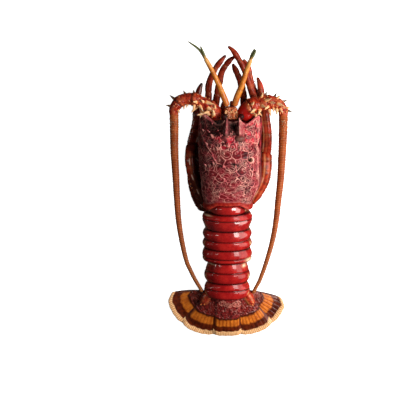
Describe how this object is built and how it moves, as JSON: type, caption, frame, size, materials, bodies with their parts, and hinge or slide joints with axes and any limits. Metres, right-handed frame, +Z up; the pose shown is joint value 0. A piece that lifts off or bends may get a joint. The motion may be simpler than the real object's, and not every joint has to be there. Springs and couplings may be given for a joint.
{
  "type": "western rock lobster",
  "caption": "Whole cooked spiny rock lobster lying on its belly, with spiny feelers swept back, folded legs and a spread tail fan.",
  "frame": {"origin": "on the flat underside of the breast plate, on the middle line, under the middle of the carapace", "axes": "+Z up through the back, +Y towards the head, +X towards the animal's right side as seen from above"},
  "size_m": [0.1225, 0.2995, 0.055],
  "materials": {
    "shell_maroon": "cooked shell, satin, with a pale raised network",
    "tail_red": "cooked shell, glossy",
    "feeler_red": "cooked shell, satin, with cream spines",
    "whip_brown": "cooked shell, finely ringed",
    "feeler_amber": "cooked shell, satin",
    "leg_brown": "cooked shell, satin",
    "fan_brown": "cooked shell, ribbed, amber band and cream fringe",
    "eye_black": "glossy",
    "belly_pale": "cooked shell, pale and matt"
  },
  "bodies": {
    "root": {"carapace": "shell_maroon", "breast_plate": "belly_pale", "head_front": "feeler_red", "eye_left": "eye_black", "eye_right": "eye_black", "antenna_base_left": "feeler_red", "antenna_base_right": "feeler_red", "antenna_whip_left": "whip_brown", "antenna_whip_right": "whip_brown", "antennule_left": "feeler_amber", "antennule_right": "feeler_amber", "mouth_leg_left": "leg_brown", "mouth_leg_right": "leg_brown", "telson": "fan_brown", "fan_inner_left": "fan_brown", "fan_outer_left": "fan_brown", "leg_left_1": "leg_brown", "leg_left_2": "leg_brown", "leg_left_3": "leg_brown", "leg_left_4": "leg_brown", "leg_left_5": "leg_brown", "fan_inner_right": "fan_brown", "fan_outer_right": "fan_brown", "leg_right_1": "leg_brown", "leg_right_2": "leg_brown", "leg_right_3": "leg_brown", "leg_right_4": "leg_brown", "leg_right_5": "leg_brown", "tail_ring_1": "tail_red", "tail_ring_2": "tail_red", "tail_ring_3": "tail_red", "tail_ring_4": "tail_red", "tail_ring_5": "tail_red", "tail_ring_6": "tail_red"}
  },
  "joints": []
}
